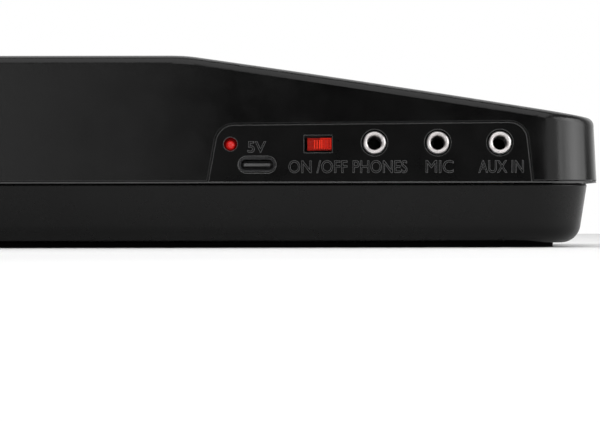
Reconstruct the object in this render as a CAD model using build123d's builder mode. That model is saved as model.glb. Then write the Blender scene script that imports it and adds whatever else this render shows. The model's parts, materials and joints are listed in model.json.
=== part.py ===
from build123d import *
import os
from math import cos, hypot, radians, sin

os.makedirs("parts", exist_ok=True)

# ---------------------------------------------------------------- frame
# Origin: middle of the footprint, on the surface under the feet. +Z up.
# +X runs to the thin end with the keys. The jack panel is on the -Y side.

# ---------------------------------------------------------------- casing
length = 242.4
width = 146.0
height = 48.6
foot_height = 1.2
lip_z = 16.6
rim_z = 16.1
wall = 2.4
wall_draft = 2.9
corner_radius = 16.0
top_round = 2.2
lip_round = 0.5

tub_overhang_end = 2.5
tub_overhang_side = 0.8
tub_corner = 14.0
tub_taper = 9.0
tub_round = 5.0
tub_wall = 2.2
tongue_height = 2.4
tongue_thickness = 1.2
floor_z = foot_height + tub_wall

# The top is flat over the thick end, then falls to the thin end in a slightly crowned slope.
bend_x = 16.4
bend_half = 3.0
bend_drop = 0.4
slope_angle = 8.8
slope_start_angle = 8.1
slope_far = (124.0, 32.05)

tilt = radians(slope_angle)
deck = Plane(origin=(bend_x, 0, height), x_dir=(cos(tilt), 0, -sin(tilt)), z_dir=(sin(tilt), 0, cos(tilt)))
deck_section = Plane(origin=(bend_x, 0, height), x_dir=(cos(tilt), 0, -sin(tilt)), z_dir=(0, -1, 0))
draft = radians(wall_draft)
jack_wall = Plane(origin=(0, -width / 2, lip_z), x_dir=(1, 0, 0), z_dir=(0, -cos(draft), sin(draft)))

# ---------------------------------------------------------------- cassette door, well and keys (deck frame)
door_gap = 0.4
well_start = 4.0
well_half_width = 54.4
hinge_s = 71.5
hinge_t = -2.6
barrel_radius = 2.4
door_opening_end = 74.6
door_top = -0.2
door_bottom = -2.6
rod_radius = 1.0
rod_half_length = 57.6
rod_clearance = 0.05
boss_inner = 55.2
boss_outer = 58.6

key_opening_start = 77.6
key_opening_end = 98.9
key_front = 98.2
key_rear = 78.5
key_pivot_s = 80.0
key_pivot_t = -3.6
key_eye_radius = 2.0
key_pitch = 18.0
key_width = 17.4
key_thickness = 2.2
key_skirt_bottom = -9.0
key_names = ["record", "play", "rewind", "forward", "stop", "pause"]

# ---------------------------------------------------------------- tape mechanism (deck frame)
hub_s = 36.3
hub_spacing = 42.5
capstan_s = 63.3
capstan_y = 33.8
capstan_radius = 1.0
chassis_top = -18.0
chassis_thickness = 1.5
chassis_bottom = chassis_top - chassis_thickness
chassis_start = -30.0
chassis_end = 88.0
chassis_half_width = 52.0
motor_s = -14.0
motor_y = 36.0
motor_radius = 14.0
reel_disc_radius = 13.0
flywheel_radius = 19.7
pulley_radius = 3.2
belt_gap = 0.3
belt_thickness = 1.2
belt_level = -27.4
drive_level = -23.0
drive_thickness = 2.6
capstan_hub_radius = 6.0

# ---------------------------------------------------------------- jack panel (jack wall frame: X along, height up the wall)
panel_bottom_left = 22.2
panel_bottom_right = 104.3
panel_top_left = (25.0, 14.5)
panel_top_right = (102.6, 15.2)
panel_round = 4.8
panel_gap = 0.15
panel_thickness = 1.2
panel_edge = 0.2
jack_height = 9.9
jack_places = (64.4, 80.35, 96.0)
bush_radius = 2.85
bush_bore = 1.8
bush_length = 14.0
board_clearance = 3.2
board_thickness = 1.6
led_place = (28.1, 9.6)
usb_place = (34.8, 4.4)
switch_place = (50.2, 9.6)

# ---------------------------------------------------------------- speaker, battery bay, handle, small parts
speaker_x = -58.0
speaker_radius = 38.5
grille_length = 82.0
grille_width = 92.0
bay_x = -93.4
bay_length = 30.8
bay_half_width = 53.5
bay_roof = 18.6
cell_radius = 7.1
cell_length = 50.0
handle_half_width = 50.6
handle_z = 29.5
handle_height = 10.2
handle_arm_width = 6.0
wheel_x = -20.0
wheel_y = 63.1
wheel_z = 32.3
wheel_radius = 10.0
counter_x = -3.0
counter_y = -36.0
post_radius = 3.2
screw_places = [(-72, 62), (-72, -62), (14, 64), (14, -64), (106, 60), (106, -60)]
foot_places = [(-98, 59.2), (-98, -59.2), (92, 52), (92, -52)]


def keep(piece, name):
    """Label a finished sub-part and write its STEP file."""
    piece.part.label = name
    export_step(piece.part, f"parts/{name}.step")


def section_at(y):
    """The deck's cross-section plane at a given Y, with (along slope, above deck) coordinates."""
    return deck_section.offset(-y)


def panel_outline(grow):
    """The jack panel's outline on the jack wall, grown by a small amount, as a face."""
    with BuildSketch(Plane.XY) as outline:
        with BuildLine():
            FilletPolyline(
                (panel_bottom_left - grow, -1.0),
                (panel_top_left[0] - grow, panel_top_left[1] + grow),
                (panel_top_right[0] + grow, panel_top_right[1] + grow),
                (panel_bottom_right + grow, -1.0),
                radius=panel_round + grow,
            )
            Line((panel_bottom_right + grow, -1.0), (panel_bottom_left - grow, -1.0))
        make_face()
    return outline.sketch


def edges_on_jack_wall(piece, out):
    """The edges of the jack panel's outline that lie at one distance out of the jack wall."""
    found = []
    for edge in piece.edges():
        place = jack_wall.to_local_coords(edge.center())
        inside = panel_bottom_left - 2 < place.X < panel_bottom_right + 2 and 0.5 < place.Y < panel_top_right[1] + 1
        if inside and abs(place.Z - out) < 0.01:
            found.append(edge)
    return found


# ================================================================ upper case
with BuildPart() as case_block:
    with BuildSketch(Plane.XY.offset(lip_z)):
        RectangleRounded(length, width, corner_radius)
    extrude(amount=height - lip_z, taper=wall_draft)
    with BuildSketch(Plane.XZ):
        with BuildLine():
            bend = TangentArc(
                (bend_x - bend_half, height),
                (bend_x + bend_half, height - bend_drop),
                tangent=(1, 0),
            )
            start_angle = radians(slope_start_angle)
            TangentArc(bend @ 1, slope_far, tangent=(cos(start_angle), -sin(start_angle)))
            Polyline(slope_far, (slope_far[0], height + 5), (bend_x - bend_half, height + 5), bend @ 0)
        make_face()
    extrude(amount=width, both=True, mode=Mode.SUBTRACT)
    upward = case_block.faces().filter_by(lambda face: face.normal_at(face.center()).Z > 0.9)
    top_edges = [
        edge
        for face in upward
        for edge in face.edges()
        if sum(edge.center() == other.center() for near in upward for other in near.edges()) == 1
    ]
    fillet(top_edges, top_round)
    fillet(case_block.edges().group_by(Axis.Z)[0], lip_round)

with BuildPart() as case_cavity:
    with BuildSketch(Plane.XY.offset(lip_z - 1)):
        RectangleRounded(length - 2 * wall, width - 2 * wall, corner_radius - wall)
    extrude(amount=height - wall - lip_z + 1, taper=wall_draft)
    split(bisect_by=deck.offset(-wall), keep=Keep.BOTTOM)

with BuildPart() as upper_case:
    add(case_block.part)
    add(case_cavity.part, mode=Mode.SUBTRACT)
    # bosses that hold the door rod and the key rod
    for boss_s, boss_t in ((hinge_s, hinge_t), (key_pivot_s, key_pivot_t)):
        with BuildSketch(deck.offset(-wall + 0.2)):
            with Locations((boss_s, (boss_inner + boss_outer) / 2), (boss_s, -(boss_inner + boss_outer) / 2)):
                Rectangle(6.0, boss_outer - boss_inner)
        extrude(amount=boss_t - 2.4 + wall - 0.2)
    add(case_block.part, mode=Mode.INTERSECT)
    # door opening and key opening
    with BuildSketch(deck.offset(2)):
        with Locations(((well_start + door_opening_end) / 2, 0)):
            RectangleRounded(door_opening_end - well_start, 2 * well_half_width, 1.2)
        with Locations(((key_opening_start + key_opening_end) / 2, 0)):
            RectangleRounded(key_opening_end - key_opening_start, 2 * well_half_width, 1.0)
    extrude(amount=-wall - 2.4, mode=Mode.SUBTRACT)
    with BuildSketch(section_at(0)):
        with Locations((hinge_s, hinge_t), (key_pivot_s, key_pivot_t)):
            Circle(rod_radius)
    extrude(amount=rod_half_length, both=True, mode=Mode.SUBTRACT)
    # recess and opening for the speaker grille
    with BuildSketch(Plane.XY.offset(height)):
        with Locations((speaker_x, 0)):
            RectangleRounded(grille_length + 0.4, grille_width + 0.4, 4.2)
    extrude(amount=-1.4, mode=Mode.SUBTRACT)
    with BuildSketch(Plane.XY.offset(height)):
        with Locations((speaker_x, 0)):
            RectangleRounded(grille_length - 6, grille_width - 6, 3)
    extrude(amount=-wall - 1, mode=Mode.SUBTRACT)
    # counter window, reset button hole and microphone holes
    with BuildSketch(Plane.XY.offset(height)):
        with Locations((counter_x, counter_y)):
            Rectangle(8, 17)
        with Locations((counter_x, counter_y - 16)):
            RectangleRounded(5.2, 5.2, 0.6)
        with Locations((4, -60)):
            with PolarLocations(1.6, 6):
                Circle(0.45)
            Circle(0.45)
    extrude(amount=-wall - 1, mode=Mode.SUBTRACT)
    # slot for the volume wheel in the +Y wall
    with BuildSketch(Plane.XZ.offset(-width / 2 - 1)):
        with Locations((wheel_x, wheel_z)):
            RectangleRounded(17, 5.0, 0.6)
    extrude(amount=6, mode=Mode.SUBTRACT)
    # recess for the carry handle in the thick end
    with BuildSketch(Plane.YZ.offset(-length / 2 - 1)):
        with Locations((0, handle_z)):
            RectangleRounded(2 * handle_half_width + 0.8, handle_height + 0.8, 2.4)
    extrude(amount=6, mode=Mode.SUBTRACT)
    # opening for the jack panel
    with BuildSketch(jack_wall.offset(1)):
        add(panel_outline(panel_gap))
    extrude(amount=-wall - 2.5, mode=Mode.SUBTRACT)
    chamfer(edges_on_jack_wall(upper_case, 0), panel_edge)
keep(upper_case, "upper_case")

# posts that the case screws go into, glued to the underside of the top
with BuildPart() as screw_posts:
    with BuildSketch(Plane.XY.offset(rim_z + 0.1)):
        with Locations(*screw_places):
            Circle(post_radius)
    extrude(amount=height - rim_z)
    add(case_cavity.part, mode=Mode.INTERSECT)
    with BuildSketch(Plane.XY.offset(rim_z)):
        with Locations(*screw_places):
            Circle(1.5)
    extrude(amount=11, mode=Mode.SUBTRACT)
keep(screw_posts, "screw_posts")

# ================================================================ lower case
tub_length = length - 2 * tub_overhang_end
tub_width = width - 2 * tub_overhang_side

with BuildPart() as lower_case:
    with BuildSketch(Plane.XY.offset(rim_z)):
        RectangleRounded(tub_length, tub_width, tub_corner)
    extrude(amount=foot_height - rim_z, taper=tub_taper)
    fillet(lower_case.edges().group_by(Axis.Z)[0], tub_round)
    fillet(lower_case.edges().group_by(Axis.Z)[-1], lip_round)
    with BuildSketch(Plane.XY.offset(rim_z)):
        RectangleRounded(tub_length - 2 * tub_wall, tub_width - 2 * tub_wall, tub_corner - tub_wall)
    extrude(amount=floor_z - rim_z, taper=tub_taper, mode=Mode.SUBTRACT)
    # register tongue that stands inside the upper case, left out behind the jack panel
    with BuildSketch(Plane.XY.offset(rim_z - 3)):
        RectangleRounded(tub_length - 2 * 0.9, tub_width - 2 * (wall - 0.3), tub_corner - 2)
        RectangleRounded(
            tub_length - 2 * (0.9 + tongue_thickness),
            tub_width - 2 * (wall - 0.3 + tongue_thickness),
            tub_corner - 3,
            mode=Mode.SUBTRACT,
        )
        with Locations(((panel_bottom_left + panel_bottom_right) / 2, -width / 2)):
            Rectangle(panel_bottom_right - panel_bottom_left + 10, 16, mode=Mode.SUBTRACT)
    extrude(amount=3 + tongue_height)
    # battery bay
    with BuildSketch(Plane.XY.offset(floor_z - 1)):
        with Locations((bay_x, 0)):
            Rectangle(bay_length + 2.8, 2 * bay_half_width + 2.8)
    extrude(amount=bay_roof + 1.4 - floor_z + 1)
    with BuildSketch(Plane.XY):
        with Locations((bay_x, 0)):
            Rectangle(bay_length, 2 * bay_half_width)
    extrude(amount=bay_roof, mode=Mode.SUBTRACT)
    # guides for the handle's arms, on the roof of the battery bay
    for side in (1, -1):
        with BuildSketch(Plane.YZ.offset(bay_x - 10)):
            with Locations((side * (handle_half_width - handle_arm_width / 2), (bay_roof + handle_z + 5.2) / 2)):
                Rectangle(handle_arm_width + 3.6, handle_z + 5.2 - bay_roof)
            with Locations((side * (handle_half_width - handle_arm_width / 2), handle_z)):
                Rectangle(handle_arm_width + 0.6, 7.4, mode=Mode.SUBTRACT)
        extrude(amount=8)
    # screw bosses
    with BuildSketch(Plane.XY.offset(floor_z - 1)):
        with Locations(*screw_places):
            Circle(4.2)
    extrude(amount=rim_z - 0.2 - floor_z + 1)
    with BuildSketch(Plane.XY.offset(foot_height)):
        with Locations(*screw_places):
            Circle(3.0)
    extrude(amount=2.8, mode=Mode.SUBTRACT)
    with BuildSketch(Plane.XY.offset(foot_height)):
        with Locations(*screw_places):
            Circle(1.6)
    extrude(amount=16, mode=Mode.SUBTRACT)
    # seats for the rubber feet
    with BuildSketch(Plane.XY.offset(foot_height)):
        with Locations(*foot_places):
            Circle(5.55)
    extrude(amount=1.0, mode=Mode.SUBTRACT)
keep(lower_case, "lower_case")

with BuildPart() as rubber_feet:
    with BuildSketch(Plane.XY):
        with Locations(*foot_places):
            Circle(5.5)
    extrude(amount=foot_height + 1.0)
    chamfer(rubber_feet.edges().group_by(Axis.Z)[0], 0.5)
keep(rubber_feet, "rubber_feet")

with BuildPart() as case_screws:
    with BuildSketch(Plane.XY.offset(foot_height + 0.6)):
        with Locations(*screw_places):
            Circle(2.8)
    extrude(amount=2.2)
    fillet(case_screws.edges().group_by(Axis.Z)[0], 0.6)
    with BuildSketch(Plane.XY.offset(foot_height + 2.8)):
        with Locations(*screw_places):
            Circle(1.45)
    extrude(amount=22)
    with BuildSketch(Plane.XY.offset(foot_height + 0.6)):
        with Locations(*screw_places):
            Rectangle(3.6, 0.7)
            Rectangle(0.7, 3.6)
    extrude(amount=1.2, mode=Mode.SUBTRACT)
keep(case_screws, "case_screws")

# ================================================================ jack panel
with BuildPart() as jack_panel:
    with BuildSketch(jack_wall.offset(-0.05)):
        add(panel_outline(0))
    extrude(amount=-panel_thickness)
    chamfer(edges_on_jack_wall(jack_panel, -0.05), panel_edge)
    # mounting flange behind the case wall
    with BuildSketch(jack_wall.offset(-wall - 0.15)):
        add(panel_outline(1.6))
    extrude(amount=-0.9)
    # rim that joins the face to the flange, hollow behind the face
    with BuildSketch(jack_wall.offset(-panel_thickness)):
        add(panel_outline(0))
        add(panel_outline(-1.2), mode=Mode.SUBTRACT)
    extrude(amount=-wall - 0.5 + panel_thickness)
    with BuildSketch(jack_wall.offset(-panel_thickness - 0.05)):
        add(panel_outline(-1.2))
    extrude(amount=-4, mode=Mode.SUBTRACT)
    # the lower edge stands just above the lower case
    with BuildSketch(jack_wall.offset(2)):
        with Locations(((panel_bottom_left + panel_bottom_right) / 2, -5)):
            Rectangle(120, 10)
    extrude(amount=-8, mode=Mode.SUBTRACT)
    # jack holes, light hole, switch window and USB mouth
    with BuildSketch(jack_wall.offset(1)):
        with Locations(*[(x, jack_height) for x in jack_places]):
            Circle(3.35)
        with Locations(led_place):
            Circle(1.75)
        with Locations(switch_place):
            Rectangle(7.1, 4.4)
        with Locations(usb_place):
            SlotOverall(9.14, 3.46)
    extrude(amount=-4, mode=Mode.SUBTRACT)
    with BuildSketch(jack_wall.offset(0.5)):
        with Locations(usb_place):
            SlotOverall(9.6, 4.3)
    extrude(amount=-1.0, mode=Mode.SUBTRACT)
keep(jack_panel, "jack_panel")

with BuildPart() as jack_bodies:
    with BuildSketch(jack_wall.offset(-3.6)):
        with Locations(*[(x, (board_clearance + 15.2) / 2) for x in jack_places]):
            Rectangle(11.0, 15.2 - board_clearance)
    extrude(amount=-10.0)
    with BuildSketch(jack_wall):
        with Locations(*[(x, jack_height) for x in jack_places]):
            Circle(bush_radius + 0.02)
    extrude(amount=-4.02, mode=Mode.SUBTRACT)
    with BuildSketch(jack_wall):
        with Locations(*[(x, jack_height) for x in jack_places]):
            Circle(2.42)
    extrude(amount=-bush_length - 1, mode=Mode.SUBTRACT)
    chamfer(jack_bodies.edges().filter_by(Axis.X), 0.4)
keep(jack_bodies, "jack_bodies")

with BuildPart() as jack_bushes:
    for bush_r, near, far in ((bush_radius, 0.1, -4.0), (2.4, -4.0, 0.1 - bush_length)):
        with BuildSketch(jack_wall.offset(near)):
            with Locations(*[(x, jack_height) for x in jack_places]):
                Circle(bush_r)
        extrude(amount=far - near)
    with BuildSketch(jack_wall.offset(1)):
        with Locations(*[(x, jack_height) for x in jack_places]):
            Circle(bush_bore)
    extrude(amount=-bush_length - 2, mode=Mode.SUBTRACT)
    mouth_edges = jack_bushes.edges().filter_by(GeomType.CIRCLE).sort_by(Axis.Y)[:6]
    chamfer(mouth_edges, 0.25)
keep(jack_bushes, "jack_bushes")

with BuildPart() as usb_shell:
    with BuildSketch(jack_wall.offset(-0.45)):
        with Locations(usb_place):
            SlotOverall(8.94, 3.26)
    extrude(amount=-7.3)
    with BuildSketch(jack_wall.offset(-0.45)):
        with Locations(usb_place):
            SlotOverall(8.34, 2.66)
    extrude(amount=-6.9, mode=Mode.SUBTRACT)
keep(usb_shell, "usb_shell")

with BuildPart() as usb_tongue:
    with BuildSketch(jack_wall.offset(-7.35)):
        with Locations(usb_place):
            SlotOverall(8.3, 2.6)
    extrude(amount=1.2)
    with BuildSketch(jack_wall.offset(-6.2)):
        with Locations(usb_place):
            Rectangle(6.6, 0.7)
    extrude(amount=5.2)
keep(usb_tongue, "usb_tongue")

with BuildPart() as power_light:
    with BuildSketch(jack_wall.offset(-6)):
        with Locations(led_place):
            Circle(1.5)
    extrude(amount=5.2)
    fillet(power_light.edges().sort_by(Axis.Y)[0], 1.3)
    with BuildSketch(jack_wall.offset(-6)):
        with Locations(led_place):
            Circle(1.9)
    extrude(amount=1.0)
    with BuildSketch(jack_wall.offset(-6)):
        with Locations((led_place[0] - 0.7, led_place[1]), (led_place[0] + 0.7, led_place[1])):
            Circle(0.25)
    extrude(amount=-3)
keep(power_light, "power_light")

slider_travel = 3.2
slider_rest = switch_place[0] + 0.35
with BuildPart() as switch_body:
    with BuildSketch(jack_wall.offset(-2.6)):
        with Locations((switch_place[0], (board_clearance + 12.6) / 2)):
            Rectangle(13.0, 12.6 - board_clearance)
    extrude(amount=-6.0)
    with BuildSketch(jack_wall.offset(-2.6)):
        with Locations((switch_place[0] - 0.6, switch_place[1])):
            Rectangle(10.8, 3.6)
    extrude(amount=-3.0, mode=Mode.SUBTRACT)
keep(switch_body, "switch_body")

with BuildPart() as switch_slider:
    # low ribbed tail
    with BuildSketch(jack_wall.offset(-3.0)):
        with Locations((slider_rest, switch_place[1])):
            Rectangle(6.1, 3.1)
    extrude(amount=1.5)
    with BuildSketch(jack_wall.offset(-1.5)):
        with Locations((slider_rest - 1.5, switch_place[1])):
            with GridLocations(1, 0.95, 1, 3):
                Rectangle(2.8, 0.35)
    extrude(amount=0.15)
    # raised thumb block
    with BuildSketch(jack_wall.offset(-1.5)):
        with Locations((slider_rest + 1.55, switch_place[1] + 0.1)):
            Rectangle(2.9, 2.8)
    extrude(amount=1.6)
    with BuildSketch(jack_wall.offset(0.1)):
        with Locations((slider_rest + 1.55, switch_place[1] + 0.1)):
            with GridLocations(0.82, 1, 4, 1):
                Rectangle(0.38, 2.5)
    extrude(amount=0.3)
    # stem that carries the moving contact
    with BuildSketch(jack_wall.offset(-3.0)):
        with Locations((slider_rest, switch_place[1])):
            Rectangle(3.0, 2.6)
    extrude(amount=-2.0)
keep(switch_slider, "switch_slider")

# ================================================================ cassette door
with BuildPart() as cassette_door:
    with BuildSketch(deck.offset(door_bottom)):
        with Locations(((well_start + door_gap + hinge_s) / 2, 0)):
            RectangleRounded(hinge_s - well_start - door_gap, 2 * (well_half_width - door_gap), 1.0)
        with Locations((hinge_s - 3, 0)):
            Rectangle(6, 2 * (well_half_width - door_gap))
    extrude(amount=door_top - door_bottom)
    chamfer(cassette_door.faces().sort_by(Axis.Z)[-1].edges().sort_by(Axis.X)[0], 0.5)
    with BuildSketch(section_at(0)):
        with Locations((hinge_s, hinge_t)):
            Circle(barrel_radius)
    extrude(amount=well_half_width - door_gap, both=True)
    with BuildSketch(section_at(0)):
        with Locations((hinge_s, hinge_t)):
            Circle(rod_radius + rod_clearance)
    extrude(amount=well_half_width + 1, both=True, mode=Mode.SUBTRACT)
    with BuildSketch(deck.offset(door_bottom - 1)):
        with Locations((hub_s, 0)):
            RectangleRounded(28.2, 78.2, 3.1)
    extrude(amount=4, mode=Mode.SUBTRACT)
    # shallow grip lines beside the window
    with BuildSketch(deck.offset(door_top)):
        with Locations((12, 0)):
            with GridLocations(2.0, 1, 4, 1):
                Rectangle(0.8, 60)
    extrude(amount=-0.5, mode=Mode.SUBTRACT)
keep(cassette_door, "cassette_door")

with BuildPart() as door_window:
    with BuildSketch(deck.offset(door_bottom + 0.2)):
        with Locations((hub_s, 0)):
            RectangleRounded(28, 78, 3)
    extrude(amount=door_top - door_bottom - 0.3)
    chamfer(door_window.faces().sort_by(Axis.Z)[-1].edges(), 0.3)
keep(door_window, "door_window")

with BuildPart() as cassette_holder:
    holder_start, holder_end, holder_floor = 8.0, 66.0, -16.4
    for side in (1, -1):
        for inner, outer, low, high in (
            (50.6, 51.8, holder_floor, door_bottom),
            (46.5, 51.8, holder_floor, holder_floor + 1.0),
            (44.0, 51.8, door_bottom - 0.8, door_bottom),
        ):
            with BuildSketch(deck.offset(low)):
                with Locations(((holder_start + holder_end) / 2, side * (inner + outer) / 2)):
                    Rectangle(holder_end - holder_start, outer - inner)
            extrude(amount=high - low)
keep(cassette_holder, "cassette_holder")

with BuildPart() as hinge_rods:
    with BuildSketch(section_at(0)):
        with Locations((hinge_s, hinge_t), (key_pivot_s, key_pivot_t)):
            Circle(rod_radius)
    extrude(amount=rod_half_length, both=True)
keep(hinge_rods, "hinge_rods")

with BuildPart() as cassette_well:
    well_floor_end, well_wall_end = 57.0, 66.0
    with BuildSketch(deck.offset(chassis_top + 0.1)):
        with Locations(((well_start - 1.4 + well_floor_end) / 2, 0)):
            Rectangle(well_floor_end - well_start + 1.4, 2 * (well_half_width + 1.4))
        with Locations((hub_s, hub_spacing / 2), (hub_s, -hub_spacing / 2)):
            Circle(6.5, mode=Mode.SUBTRACT)
    extrude(amount=1.0)
    with BuildSketch(deck.offset(chassis_top + 0.1)):
        for side in (1, -1):
            with Locations(((well_start - 1.4 + well_wall_end) / 2, side * (well_half_width + 0.7))):
                Rectangle(well_wall_end - well_start + 1.4, 1.4)
        with Locations((well_start - 0.7, 0)):
            Rectangle(1.4, 2 * (well_half_width + 1.4))
    extrude(amount=-wall - 0.2 - chassis_top - 0.1)
keep(cassette_well, "cassette_well")

# ================================================================ piano keys
for index, key_name in enumerate(key_names):
    key_y = (index - (len(key_names) - 1) / 2) * key_pitch
    with BuildPart() as key:
        with BuildSketch(section_at(key_y)):
            with BuildLine():
                ThreePointArc((key_rear, -0.5), ((key_rear + key_front) / 2, -1.1), (key_front - 0.9, -0.3))
                Polyline(
                    (key_front - 0.9, -0.3),
                    (key_front, -1.2),
                    (key_front, key_skirt_bottom),
                    (key_front - 1.6, key_skirt_bottom),
                    (key_front - 1.6, -0.6 - key_thickness),
                    (key_rear, -0.4 - key_thickness),
                    (key_rear, -0.5),
                )
            make_face()
            with Locations((key_pivot_s, key_pivot_t)):
                Circle(key_eye_radius)
                Circle(rod_radius + rod_clearance, mode=Mode.SUBTRACT)
        extrude(amount=key_width / 2, both=True)
        side_faces = key.faces().filter_by(Plane.XZ)
        for side_face in (side_faces.sort_by(Axis.Y)[0], side_faces.sort_by(Axis.Y)[-1]):
            chamfer(side_face.edges().sort_by(Axis.Z)[-1], 0.35)
        # side webs that stiffen the front half
        with BuildSketch(section_at(key_y)):
            Polygon(
                (key_front - 1.0, -2.0),
                (key_front - 1.0, key_skirt_bottom),
                (key_front - 3.5, key_skirt_bottom),
                (key_front - 10.0, -2.0),
                align=None,
            )
        web = extrude(amount=key_width / 2, both=True, mode=Mode.PRIVATE)
        with BuildSketch(section_at(key_y)):
            with Locations((key_front - 6, -6)):
                Rectangle(30, 30)
        gap = extrude(amount=key_width / 2 - 1.2, both=True, mode=Mode.PRIVATE)
        add(web - gap)
    keep(key, f"key_{key_name}")

with BuildPart() as key_springs:
    with BuildSketch(section_at(0)):
        Polygon(
            (83.4, chassis_top),
            (88.1, chassis_top),
            (92.9, -5.6),
            (92.4, -5.6),
            (87.7, chassis_top + 0.4),
            (83.4, chassis_top + 0.4),
            align=None,
        )
    extrude(amount=50, both=True)
    with BuildSketch(deck.offset(chassis_top + 1.5)):
        with Locations((90, 0)):
            with GridLocations(1, key_pitch, 1, 7):
                Rectangle(12, 11)
    extrude(amount=16, mode=Mode.SUBTRACT)
keep(key_springs, "key_springs")

# ================================================================ chassis and tape drive
idler_reach = hypot(capstan_s - hub_s, capstan_y - hub_spacing / 2)
idler_radius = (idler_reach - capstan_hub_radius - reel_disc_radius) / 2 - belt_gap
idler_step = (capstan_hub_radius + belt_gap + idler_radius) / idler_reach
idler_s = capstan_s + (hub_s - capstan_s) * idler_step
idler_y = capstan_y + (hub_spacing / 2 - capstan_y) * idler_step

with BuildPart() as chassis:
    with BuildSketch(deck.offset(chassis_bottom)):
        with Locations(((chassis_start + chassis_end) / 2, 0)):
            RectangleRounded(chassis_end - chassis_start, 2 * chassis_half_width, 4)
        with Locations((hub_s, hub_spacing / 2), (hub_s, -hub_spacing / 2)):
            Circle(2.05, mode=Mode.SUBTRACT)
        with Locations((capstan_s, capstan_y)):
            Circle(3.0, mode=Mode.SUBTRACT)
        with Locations((motor_s, motor_y)):
            Circle(3.0, mode=Mode.SUBTRACT)
        with Locations((-12, -14)):
            RectangleRounded(24, 40, 3, mode=Mode.SUBTRACT)
        with Locations((60, -36)):
            RectangleRounded(20, 18, 3, mode=Mode.SUBTRACT)
    extrude(amount=chassis_thickness)
    # stub that carries the idler
    with BuildSketch(deck.offset(chassis_bottom)):
        with Locations((idler_s, idler_y)):
            Circle(1.0)
    extrude(amount=drive_level - 0.6 - chassis_bottom)
keep(chassis, "chassis")

with BuildPart() as standoffs:
    standoff_places = [deck.from_local_coords((s, y, chassis_bottom)) for s in (-26, 85) for y in (-48, 48)]
    with BuildSketch(Plane.XY.offset(floor_z)):
        with Locations(*[(place.X, place.Y) for place in standoff_places]):
            Circle(3.0)
    extrude(amount=height - floor_z)
    split(bisect_by=deck.offset(chassis_bottom), keep=Keep.BOTTOM)
keep(standoffs, "standoffs")

for spindle_name, side in (("supply", -1), ("take_up", 1)):
    with BuildPart() as spindle:
        for radius, low, high in ((2.0, -25.0, -17.6), (5.6, -17.6, -16.6), (3.2, -16.6, -7.0)):
            with BuildSketch(deck.offset(low)):
                with Locations((hub_s, side * hub_spacing / 2)):
                    Circle(radius)
            extrude(amount=high - low)
        fillet(spindle.edges().sort_by(Axis.Z)[-1], 1.2)
        with BuildSketch(deck.offset(-16.6)):
            with Locations((hub_s, side * hub_spacing / 2)):
                with PolarLocations(3.6, 3):
                    Rectangle(2.4, 1.3)
        extrude(amount=7.0)
    keep(spindle, f"{spindle_name}_spindle")
    with BuildPart() as disc:
        with BuildSketch(deck.offset(drive_level)):
            with Locations((hub_s, side * hub_spacing / 2)):
                Circle(reel_disc_radius)
                Circle(2.0, mode=Mode.SUBTRACT)
        extrude(amount=drive_thickness)
        with BuildSketch(deck.offset(drive_level - 0.01)):
            with Locations((hub_s, side * hub_spacing / 2)):
                Circle(reel_disc_radius - 2.4)
                Circle(4.0, mode=Mode.SUBTRACT)
        extrude(amount=0.8, mode=Mode.SUBTRACT)
        chamfer(disc.edges().group_by(SortBy.LENGTH)[-1], 0.3)
    keep(disc, f"{spindle_name}_disc")

with BuildPart() as idler_wheel:
    with BuildSketch(deck.offset(drive_level)):
        with Locations((idler_s, idler_y)):
            Circle(idler_radius)
            Circle(1.0 + rod_clearance, mode=Mode.SUBTRACT)
    extrude(amount=drive_thickness)
keep(idler_wheel, "idler_wheel")

with BuildPart() as capstan:
    with BuildSketch(deck.offset(-30.0)):
        with Locations((capstan_s, capstan_y)):
            Circle(capstan_radius)
    extrude(amount=23.5)
    chamfer(capstan.edges().sort_by(Axis.Z)[-1], 0.3)
keep(capstan, "capstan")

with BuildPart() as capstan_bearing:
    for radius, low, high in ((2.95, chassis_bottom, -14.6), (4.4, chassis_top, chassis_top + 1.0)):
        with BuildSketch(deck.offset(low)):
            with Locations((capstan_s, capstan_y)):
                Circle(radius)
        extrude(amount=high - low)
    with BuildSketch(deck.offset(chassis_bottom)):
        with Locations((capstan_s, capstan_y)):
            Circle(capstan_radius + rod_clearance)
    extrude(amount=10, mode=Mode.SUBTRACT)
keep(capstan_bearing, "capstan_bearing")

with BuildPart() as flywheel:
    for radius, low, high in ((flywheel_radius, -29.0, -25.0), (capstan_hub_radius, -25.0, drive_level + 2.6)):
        with BuildSketch(deck.offset(low)):
            with Locations((capstan_s, capstan_y)):
                Circle(radius)
        extrude(amount=high - low)
    with BuildSketch(deck.offset(-25.0)):
        with Locations((capstan_s, capstan_y)):
            Circle(flywheel_radius - 3)
            Circle(capstan_hub_radius + 2, mode=Mode.SUBTRACT)
    extrude(amount=-1.4, mode=Mode.SUBTRACT)
    with BuildSketch(deck.offset(-30)):
        with Locations((capstan_s, capstan_y)):
            Circle(capstan_radius)
    extrude(amount=12, mode=Mode.SUBTRACT)
keep(flywheel, "flywheel")

with BuildPart() as motor:
    with BuildSketch(deck.offset(chassis_top)):
        with Locations((motor_s, motor_y)):
            Circle(motor_radius)
    extrude(amount=11.0)
    fillet(motor.edges().sort_by(Axis.Z)[-1], 1.6)
    with BuildSketch(deck.offset(chassis_top)):
        with Locations((motor_s, motor_y)):
            Circle(0.8)
    extrude(amount=7, mode=Mode.SUBTRACT)
keep(motor, "motor")

with BuildPart() as motor_pulley:
    steps = ((0.75, -29.6, -12.0), (4.4, -29.6, -28.6), (pulley_radius, -28.6, -26.2), (4.4, -26.2, -25.2))
    for radius, low, high in steps:
        with BuildSketch(deck.offset(low)):
            with Locations((motor_s, motor_y)):
                Circle(radius)
        extrude(amount=high - low)
keep(motor_pulley, "motor_pulley")

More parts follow.
